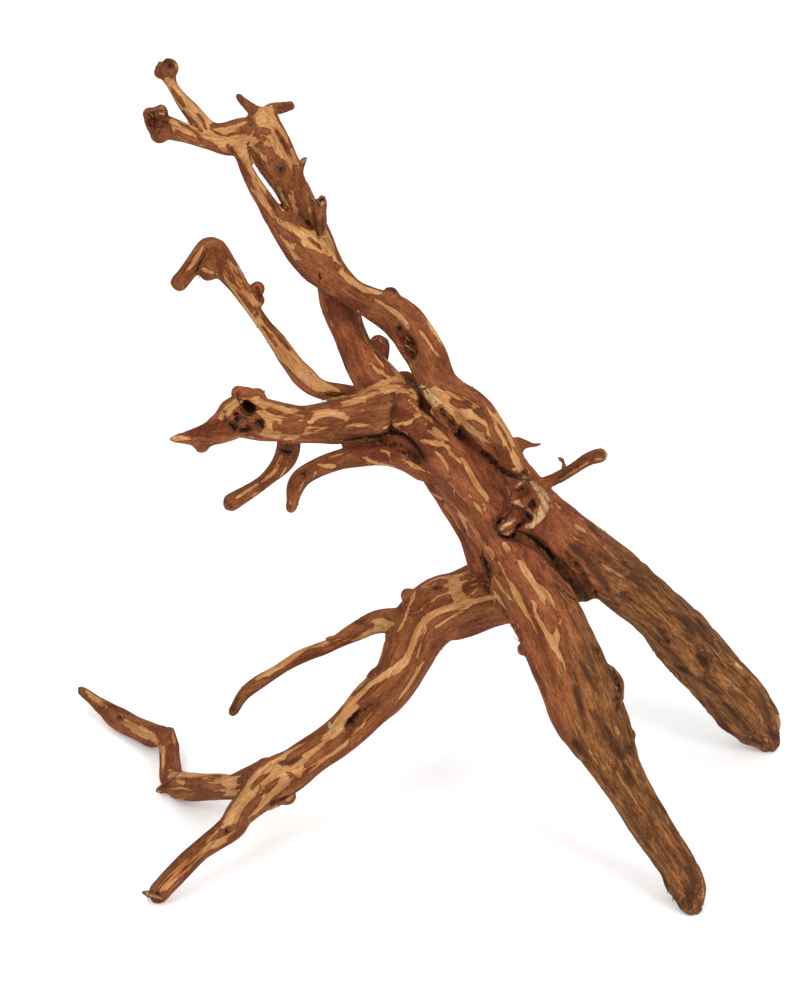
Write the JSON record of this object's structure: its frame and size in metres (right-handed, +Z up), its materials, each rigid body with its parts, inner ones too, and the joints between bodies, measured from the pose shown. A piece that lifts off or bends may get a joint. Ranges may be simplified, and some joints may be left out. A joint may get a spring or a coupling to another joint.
{
  "type": "driftwood root",
  "caption": "Branching dry driftwood root: a twisted trunk that stands on splayed legs, with curved side arms, thin twigs and broken hollow ends.",
  "frame": {"origin": "middle of the box round the wood, at its bottom, where its low points touch the ground", "axes": "+Z up, +X to the viewer's right towards the two thick legs, +Y away from the viewer"},
  "size_m": [0.4113, 0.1996, 0.4217],
  "materials": {
    "root_wood": "dry weathered wood under thin bark that is worn off in patches"
  },
  "bodies": {
    "root": {"driftwood": "root_wood"}
  },
  "joints": []
}
